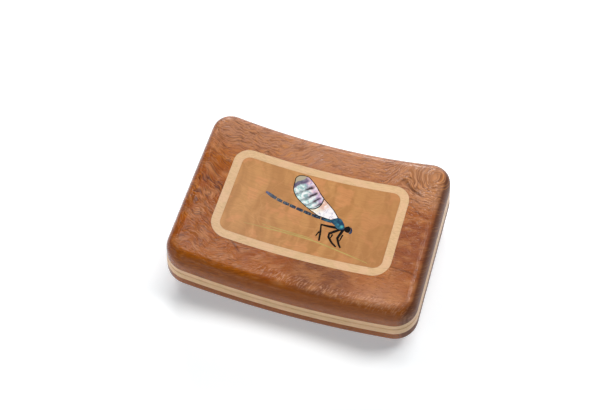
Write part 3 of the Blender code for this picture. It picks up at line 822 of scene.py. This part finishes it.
def make_border():
    low = THICKNESS - INLAY_DEPTH
    profile = [(0, low), (0, THICKNESS), (BORDER_WIDTH, THICKNESS), (BORDER_WIDTH, low)]
    return loft("inlay_border_maple", [ring(inlay_shape(), inset, h) for inset, h in profile], hollow=True)


def make_panel():
    shape = inlay_shape(-BORDER_WIDTH - JOINT_LINE)
    rings = [ring(shape, 0, THICKNESS - INLAY_DEPTH), ring(shape, 0, THICKNESS)]
    return loft("inlay_panel_veneer", rings)


# The damselfly. Its outlines are given in millimetres from the middle of the lid.

def mm(*points):
    return [Vector(point) / 1000 for point in points]


WING_ROOT = mm((9.6, -0.2), (3.4, 0.5), (-1.1, 2.5))
WING_BREAK = mm((-1.1, 2.5), (0.6, 2.9), (2.4, 4.3), (3.5, 6.3), (3.8, 9.2))
WING_FRONT = mm((3.8, 9.2), (1.0, 11.9), (-1.9, 15.1), (-5.4, 18.0), (-7.7, 18.8), (-10.3, 18.3),
                (-11.7, 16.7), (-11.6, 14.6), (-11.5, 12.6), (-10.9, 10.1), (-9.0, 7.4), (-6.7, 5.6),
                (-4.0, 4.0), (-1.1, 2.5))
WING_LEADING = mm((3.8, 9.2), (6.6, 7.1), (9.6, 4.6), (12.4, 1.5))
THORAX = mm((9.9, -0.6), (11.0, 0.5), (12.5, 1.3), (13.9, 1.3), (15.3, 0.0), (16.5, -1.8), (16.8, -3.5),
            (15.5, -4.2), (13.6, -3.9), (11.9, -2.5), (10.4, -1.6))
HEAD = mm((16.5, -3.3), (17.3, -2.2), (18.8, -1.7), (19.6, -3.2), (19.2, -4.8), (17.7, -4.7))
EYE = mm((19.4, -1.9), (20.3, -2.7), (20.7, -4.0), (20.3, -5.3), (19.4, -5.1), (19.8, -3.6))
ABDOMEN_PATH = mm((10.5, -1.2), (5.1, -0.6), (0.4, 0.0), (-3.7, 0.7), (-7.4, 1.3), (-10.7, 1.9), (-14.2, 2.5),
                  (-17.3, 3.2), (-20.2, 4.2), (-22.9, 5.2))
ABDOMEN_JOINTS = (0.0, 5.5, 10.2, 14.3, 18.0, 21.4, 24.9, 28.1, 34.3)
ABDOMEN_WIDTH = 0.00152
JOINT_GAP = 0.00044
# A segment's width at its ends, as a share of its middle, and how much the tail widens and narrows.
SEGMENT_END = 0.86
TAIL_START = 1.12
TAIL_NARROWING = 0.4
LEG_WIDTH = 0.00132
FAR_LEG_WIDTH = 0.00075
FOOT = 0.55  # a foot's width, as a share of the leg's
GRASS_END = 0.45  # a blade's width at its ends, as a share of its middle
GRASS_LINE = 0.1 * JOINT_LINE
NEAR_LEGS = {
    "leg_rear": mm((13.7, -3.6), (10.2, -3.8), (6.1, -3.8), (6.8, -7.4), (7.4, -12.1)),
    "leg_middle": mm((15.4, -3.9), (10.9, -7.3), (11.0, -9.1), (13.3, -11.7), (15.6, -13.3)),
    "leg_front": mm((16.6, -3.6), (15.1, -8.8), (16.5, -11.7), (17.7, -13.3)),
}
FAR_LEGS = {
    "leg_rear_far": mm((6.2, -7.5), (5.3, -10.1)),
    "leg_middle_far": mm((12.5, -7.4), (12.0, -9.6)),
    "leg_front_far": mm((17.0, -6.5), (16.4, -10.0)),
}
GRASS = {
    "stem": (0.00058, mm((-27.6, -13.5), (-21.9, -13.0), (-16.6, -12.8), (-8.8, -12.5), (-2.1, -12.5),
                         (4.5, -12.8), (11.4, -13.8), (18.0, -15.1), (25.4, -16.7), (31.4, -18.2))),
    "blade": (0.00042, mm((-19.6, -11.3), (-13.0, -11.5), (-6.4, -11.6), (-0.2, -11.7), (4.8, -12.0))),
}


def smooth(points, steps, closed=False):
    """Points on a Catmull-Rom curve through the given ones."""
    before, after = (points[-1:], points[:2]) if closed else (points[:1], points[-1:])
    knots = before + points + after
    path = []
    for p0, p1, p2, p3 in zip(knots, knots[1:], knots[2:], knots[3:]):
        for step in range(steps):
            t = step / steps
            path.append((2 * p1 + (p2 - p0) * t + (2 * p0 - 5 * p1 + 4 * p2 - p3) * t * t
                         + (3 * p1 - p0 - 3 * p2 + p3) * t ** 3) / 2)
    return path if closed else path + points[-1:]


def grown(outline, gap):
    """The outline moved outwards by gap. Outlines run anticlockwise."""
    moved = []
    for i, here in enumerate(outline):
        before = (here - outline[i - 1]).normalized()
        after = (outline[(i + 1) % len(outline)] - here).normalized()
        normal = Vector((before.y + after.y, -before.x - after.x)).normalized()
        mitre = max(normal.dot(Vector((after.y, -after.x))), 0.5)
        moved.append(here + normal * gap / mitre)
    return moved


def anticlockwise(outline):
    area = sum(a.x * b.y - b.x * a.y for a, b in zip(outline, outline[1:] + outline[:1]))
    return outline if area > 0 else outline[::-1]


def stroke(points, widths):
    """The outline of a line drawn through points, with its width at each."""
    left, right = [], []
    for i, here in enumerate(points):
        ahead = points[min(i + 1, len(points) - 1)] - points[max(i - 1, 0)]
        side = Vector((-ahead.y, ahead.x)).normalized() * widths[i] / 2
        left.append(here + side)
        right.append(here - side)
    return anticlockwise(right + left[::-1])


def along(path, distance):
    """The point at that distance along a path."""
    for a, b in zip(path, path[1:]):
        span = (b - a).length
        if distance <= span:
            return a.lerp(b, distance / span)
        distance -= span
    return path[-1]


def inlay_solid(name, outline, low, high):
    """A flat outline made solid between two heights, and laid along the bend."""
    bm = bmesh.new()
    bm.faces.new([bm.verts.new((point.x, point.y, 0)) for point in outline])
    first = math.ceil(min(point.x for point in outline) / INLAY_SPAN)
    last = math.floor(max(point.x for point in outline) / INLAY_SPAN)
    for step in range(first, last + 1):
        parts = bm.verts[:] + bm.edges[:] + bm.faces[:]
        bmesh.ops.bisect_plane(bm, geom=parts, plane_co=(step * INLAY_SPAN, 0, 0), plane_no=(1, 0, 0))
    raised = bmesh.ops.extrude_face_region(bm, geom=bm.faces[:])["geom"]
    upper = {part for part in raised if isinstance(part, bmesh.types.BMVert)}
    for vert in bm.verts:
        vert.co.z = lift(vert.co.x, high if vert in upper else low)
    return finish_mesh(bm, name)


def inlay(name, outline, line=JOINT_LINE, drop=0.0):
    """A piece let into the panel, drop under its face, and the cutter of its pocket."""
    outline = anticlockwise(outline)
    floor = THICKNESS - POCKET_DEPTH
    piece = inlay_solid(name, outline, floor, THICKNESS - drop)
    pocket = inlay_solid(name + "_pocket", grown(outline, line), floor - JOINT_LINE, ABOVE)
    return piece, pocket


def make_wings():
    """Two shells that meet along a curved break, set in a dark resin that shows as a line round them."""
    front = smooth(WING_FRONT, WING_STEPS)
    break_line = smooth(WING_BREAK, WING_STEPS)
    leading = smooth(WING_LEADING, WING_STEPS)
    outer_outline = anticlockwise(front + break_line[1:-1])
    inner_outline = anticlockwise(break_line + leading[1:] + WING_ROOT[:-1])
    whole = anticlockwise(front + WING_ROOT[::-1][1:] + leading[::-1][:-1])
    outer = inlay_solid("wing_outer_shell", outer_outline, THICKNESS - POCKET_DEPTH, THICKNESS)
    inner, inner_pocket = inlay("wing_inner_shell", inner_outline, BREAK_LINE)
    resin, resin_pocket = inlay("wing_resin", grown(whole, WING_LINE), drop=RESIN_DROP)
    carve(outer, inner_pocket)
    for outline, gaps in ((outer_outline, [inner_pocket]), (inner_outline, [])):
        bed = inlay_solid("bed", grown(outline, RESIN_DROP), THICKNESS - POCKET_DEPTH - JOINT_LINE, ABOVE)
        carve(bed, *gaps)
        carve(resin, bed)
        discard(bed)
    discard(inner_pocket)
    return outer, inner, resin, resin_pocket


def bulged(share, ends):
    """A width at a share of the way along a piece: 1 in the middle and less towards both ends."""
    return ends + (1 - ends) * math.sin(math.pi * share)


def abdomen_outlines():
    """The outlines of the segments, from the thorax to the tail."""
    path = smooth(ABDOMEN_PATH, CURVE_STEPS)
    shares = [step / CURVE_STEPS for step in range(CURVE_STEPS + 1)]
    outlines = []
    for start, end in zip(ABDOMEN_JOINTS, ABDOMEN_JOINTS[1:]):
        start = start / 1000 + JOINT_GAP / 2
        length = end / 1000 - JOINT_GAP / 2 - start
        points = [along(path, start + length * share) for share in shares]
        widths = [ABDOMEN_WIDTH * bulged(share, SEGMENT_END) for share in shares]
        if end == ABDOMEN_JOINTS[-1]:
            widths = [width * (TAIL_START - TAIL_NARROWING * share ** 2)
                      for share, width in zip(shares, widths)]
        outlines.append(stroke(points, widths))
    return outlines


def make_damselfly(panel):
    """Every inlaid piece of the damselfly, each in its own pocket of the panel."""
    outer, inner, resin, resin_pocket = make_wings()
    thorax, thorax_pocket = inlay("thorax_shell", smooth(THORAX, CURVE_STEPS, closed=True))
    head, head_pocket = inlay("head_ebony", smooth(HEAD, CURVE_STEPS, closed=True))
    eye, eye_pocket = inlay("eye_shell", smooth(EYE, CURVE_STEPS, closed=True))
    for piece in (outer, inner, resin):
        carve(piece, thorax_pocket)
    carve(head, eye_pocket, thorax_pocket)
    pockets = [resin_pocket, thorax_pocket, head_pocket, eye_pocket]

    def let_in(name, node, slot, outline, *cutters, line=JOINT_LINE):
        piece, pocket = inlay(name, outline, line)
        carve(piece, *cutters)
        pockets.append(pocket)
        settle(piece, "lid", slot, node)
        return pocket

    near = {}
    for name, points in NEAR_LEGS.items():
        last = len(points) - 1
        outline = stroke(points, [LEG_WIDTH * (1 - (1 - FOOT) * i / last) for i in range(last + 1)])
        near[name] = let_in(name + "_ebony", name, "ebony", outline, thorax_pocket, head_pocket)
    for name, points in FAR_LEGS.items():
        outline = stroke(points, [FAR_LEG_WIDTH, FOOT * FAR_LEG_WIDTH])
        let_in(name + "_ebony", name, "ebony", outline, near[name[:-len("_far")]])
    for number, outline in enumerate(abdomen_outlines(), 1):
        let_in(f"abdomen_shell_{number}", f"abdomen_segment_{number}", "blue_shell", outline,
               resin_pocket, thorax_pocket)
    for label, (width, points) in GRASS.items():
        path = smooth(points, CURVE_STEPS)
        last = len(path) - 1
        outline = stroke(path, [width * bulged(i / last, GRASS_END) for i in range(last + 1)])
        let_in("grass_" + label, "grass_stem", "grass_dye", outline, line=GRASS_LINE)
    carve(panel, *pockets)
    discard(*pockets)
    for piece, slot, *node in ((outer, "paua_shell", "wing_outer"), (inner, "pearl_shell", "wing_inner"),
                               (resin, "ebony"), (thorax, "blue_shell", "thorax"), (head, "ebony", "head"),
                               (eye, "blue_shell", "eye")):
        settle(piece, "lid", slot, *node)


# Foam.

FOAM_REACH = LENGTH / 2 - CORNER


def slit(x, count):
    """How deep the slits are cut at x: count of them, spread evenly along the foam."""
    place = count * (x + FOAM_REACH) / (2 * FOAM_REACH) - 0.5
    away = abs(place - round(place)) * STEPS_PER_RIDGE
    return SLIT_DEPTH * max(0.0, 1 - away) if 0 <= round(place) < count else 0.0


def base_foam_face(x):
    """Rounded ridges across the base foam, each slit along its crest to take the hooks."""
    height = FLOOR_TOP + FOAM_GAP + FOAM_BASE
    if abs(x) >= FOAM_REACH:
        return height
    wave = 0.5 - 0.5 * math.cos(2 * math.pi * RIDGES * (x + FOAM_REACH) / (2 * FOAM_REACH))
    return height + RIDGE_HEIGHT * wave - slit(x, RIDGES)


def lid_foam_face(x):
    return ROOF_UNDER - FOAM_GAP - LID_FOAM + slit(x, LID_SLITS)


def make_foam(name, body, glued, face, count):
    """A foam pad from the height where it is glued to its shaped face, with a soft edge round the face."""
    inset = WALL + CAVITY_FILLET
    outwards = 1 if body == "base" else -1
    rings = [wall_ring(inset, glued, glued, count * STEPS_PER_RIDGE)]
    for inwards, short in FOAM_EDGE_PROFILE:
        rings.append(wall_ring(inset + inwards * FOAM_EDGE, lambda x: face(x) - outwards * short * FOAM_EDGE,
                               glued, count * STEPS_PER_RIDGE))
    foam = loft(name, rings)
    settle(foam, body, "foam", body + "_foam")


# Turned pieces: magnets, pins and screws.

def turned(name, profile, sides, place):
    """A solid of revolution about its own Z, from (radius, z) pairs, moved by a matrix."""
    bm = bmesh.new()
    rings = []
    for radius, z in profile:
        points = [(radius * math.cos(turn), radius * math.sin(turn), z)
                  for turn in (2 * math.pi * side / sides for side in range(sides))]
        rings.append([bm.verts.new(place @ Vector(point)) for point in points])
    for low, high in zip(rings, rings[1:]):
        bridge(bm, low, high)
    bm.faces.new(rings[0])
    bm.faces.new(rings[-1])
    return finish_mesh(bm, name)


def make_magnet(side, body, rim):
    """A disc magnet let into the seam face of one rim."""
    away = 1 if body == "lid" else -1
    label = "right" if side > 0 else "left"
    x = side * MAGNET_X
    y = WALL / 2 - WIDTH / 2
    face = SEAM + away * SEAM_OPENING
    place = Matrix.Translation((x, y, lift(x, face))) @ Matrix.Rotation(-tilt(x, face), 4, 'Y')
    profile = [(MAGNET_RADIUS - MAGNET_BEVEL, away * MAGNET_SINK),
               (MAGNET_RADIUS, away * (MAGNET_SINK + MAGNET_BEVEL)),
               (MAGNET_RADIUS, away * (MAGNET_SINK + MAGNET_LENGTH))]
    hole_radius = MAGNET_RADIUS + JOINT_LINE
    hole = [(hole_radius, -away * WALL / 2), (hole_radius, away * (2 * MAGNET_SINK + MAGNET_LENGTH))]
    pocket = turned("magnet_pocket", hole, MAGNET_SIDES, place)
    carve(rim, pocket)
    discard(pocket)
    disc = turned(f"{body}_magnet_disc_{label}", profile, MAGNET_SIDES, place)
    settle(disc, body, "nickel", f"{body}_magnet_{label}")


def screw_profile(gap=0.0):
    """The shank and the cone of the head, up to its rim."""
    head_under = SCREW_HEAD - SCREW_SHANK
    return [(SCREW_SHANK + gap, -SCREW_LENGTH - gap), (SCREW_SHANK + gap, -head_under - gap),
            (SCREW_HEAD + gap, -gap)]


def make_screw(label, body, number, leaf, wood):
    """A slotted, countersunk screw through a leaf into the wood."""
    x = (-HINGE_X if label == "left" else HINGE_X) + (-SCREW_X if number == 1 else SCREW_X)
    z = HINGE_AXIS.z + (SCREW_Z if body == "lid" else -SCREW_Z)
    facing = Matrix.Rotation(-math.pi / 2, 4, 'X')
    place = Matrix.Translation((x, WIDTH / 2 - SCREW_SINK, z)) @ facing
    rim = (SCREW_HEAD - SCREW_RIM[0], SCREW_RIM[1])
    screw = turned(f"screw_{label}_{body}_slotted_{number}", [*screw_profile(), rim], TURNED_SIDES, place)
    mouth = (SCREW_HEAD + JOINT_LINE, LEAF_THICKNESS)
    hole = turned("hole", [*screw_profile(JOINT_LINE), mouth], TURNED_SIDES, place)
    carve(leaf, hole)
    carve(wood, hole)
    turn = Matrix.Rotation(math.radians(SLOT_STEP * number + SLOT_TURNS[body] + SLOT_TURNS[label]), 4, 'Z')
    slot = make_block("slot", (3 * SCREW_HEAD, SLOT_WIDTH, 2 * SLOT_DEPTH), place @ turn)
    carve(screw, slot)
    discard(hole, slot)
    settle(screw, body, "brass", f"screw_{label}_{body}_{number}")


# Hinges.

def leaf_sections(up):
    """Inner and outer points of a leaf's strip, from its far edge round the barrel, as (y, z)."""
    clear = BARREL_RADIUS + FOAM_GAP
    sections = [((-BARREL_RADIUS, up * z), (-BORE_RADIUS, up * z)) for z in (LEAF_HEIGHT, clear)]
    for step in range(CURL_STEPS + 1):
        turn = math.pi + CURL * step / CURL_STEPS
        y, z = math.cos(turn), up * math.sin(turn)
        sections.append(((BARREL_RADIUS * y, BARREL_RADIUS * z), (BORE_RADIUS * y, BORE_RADIUS * z)))
    return sections


def make_leaf(name, x, up, knuckles):
    """A leaf whose strip is cut along X at the knuckles. knuckles says which thirds it has."""
    cuts = [-LEAF_LENGTH / 2, -KNUCKLE_HALF - KNUCKLE_GAP, -KNUCKLE_HALF, KNUCKLE_HALF,
            KNUCKLE_HALF + KNUCKLE_GAP, LEAF_LENGTH / 2]
    has_knuckle = [knuckles[0], False, knuckles[1], False, knuckles[2]]
    sections = leaf_sections(up)
    cells = {(k, j) for k in range(len(sections) - 1) for j in range(len(cuts) - 1)
             if k == 0 or has_knuckle[j]}
    square = ((0, 0), (1, 0), (1, 1), (0, 1))
    bm = bmesh.new()
    corners = {}

    def corner(k, j, side):
        key = (k, j, side)
        if key not in corners:
            y, z = sections[k][side]
            corners[key] = bm.verts.new((x + cuts[j], HINGE_AXIS.y + y, HINGE_AXIS.z + z))
        return corners[key]

    for k, j in sorted(cells):
        for side in (0, 1):
            bm.faces.new([corner(k + a, j + b, side) for b, a in square])
        for step, a in ((-1, 0), (1, 1)):
            if (k + step, j) not in cells:
                bm.faces.new([corner(k + a, j + b, side) for b, side in square])
            if (k, j + step) not in cells:
                bm.faces.new([corner(k + b, j + a, side) for b, side in square])
    bmesh.ops.recalc_face_normals(bm, faces=bm.faces)
    sharp = [edge for edge in bm.edges if edge.calc_face_angle(0) > LEAF_SHARP]
    bmesh.ops.bevel(bm, geom=sharp, offset=LEAF_BEVEL, segments=2, affect='EDGES', profile=0.5)
    return finish_mesh(bm, name)


def make_hinge(side, wood):
    """One hinge, let into the back of all four layers."""
    label = "right" if side > 0 else "left"
    x = side * HINGE_X
    size = (LEAF_LENGTH + 2 * JOINT_LINE, 2 * (LEAF_THICKNESS + JOINT_LINE), 2 * (LEAF_HEIGHT + JOINT_LINE))
    mortise = make_block("mortise", size, Matrix.Translation((x, WIDTH / 2, HINGE_AXIS.z)))
    for layer in wood.values():
        carve(layer, mortise)
    discard(mortise)
    leaves = {"base": make_leaf(f"hinge_{label}_base_leaf_brass", x, -1, (True, False, True)),
              "lid": make_leaf(f"hinge_{label}_lid_leaf_brass", x, 1, (False, True, False))}
    for body, leaf in leaves.items():
        layer = wood["base_tray" if body == "base" else "lid_shell"]
        for number in (1, 2):
            make_screw(label, body, number, leaf, layer)
        settle(leaf, body, "brass", f"hinge_{label}_{body}_leaf")
    half = LEAF_LENGTH / 2
    dome = [(PIN_RADIUS * math.cos(turn), half + DOME_RISE * PIN_RADIUS * math.sin(turn))
            for turn in map(math.radians, DOME_ANGLES)]
    profile = [(radius, -z) for radius, z in reversed(dome)] + dome
    place = Matrix.Translation((x, *HINGE_AXIS.yz)) @ Matrix.Rotation(math.pi / 2, 4, 'Y')
    pin = turned(f"hinge_{label}_pin_brass", profile, TURNED_SIDES, place)
    settle(pin, "base", "brass", f"hinge_{label}_pin")


def make_box():
    """The wooden layers with their recesses, and everything let into them."""
    wood = {"base_tray": make_base_tray(),
            "base_rim": make_rim("base_rim_maple", TRAY_TOP + GLUE_LINE, SEAM - SEAM_OPENING, True),
            "lid_rim": make_rim("lid_rim_maple", SEAM + SEAM_OPENING, LID_RIM_TOP - GLUE_LINE, False),
            "lid_shell": make_lid_shell()}
    heights = (THICKNESS - INLAY_DEPTH - JOINT_LINE, ABOVE)
    recess = loft("recess", [ring(inlay_shape(JOINT_LINE), 0, h) for h in heights])
    carve(wood["lid_shell"], recess)
    discard(recess)
    for side in (-1, 1):
        make_magnet(side, "base", wood["base_rim"])
        make_magnet(side, "lid", wood["lid_rim"])
        make_hinge(side, wood)
    for name, layer in wood.items():
        body, kind = name.split("_")
        settle(layer, body, "maple" if kind == "rim" else "figured_mahogany", name)
    settle(make_border(), "lid", "maple", "inlay_border")
    panel = make_panel()
    make_damselfly(panel)
    settle(panel, "lid", "quilted_maple", "inlay_panel")
    make_foam("ripple_foam", "base", FLOOR_TOP + FOAM_GAP, base_foam_face, RIDGES)
    make_foam("slit_foam", "lid", ROOF_UNDER - FOAM_GAP, lid_foam_face, LID_SLITS)


def main():
    make_camera()
    make_studio()
    make_box()


MATERIALS = make_materials()
main()
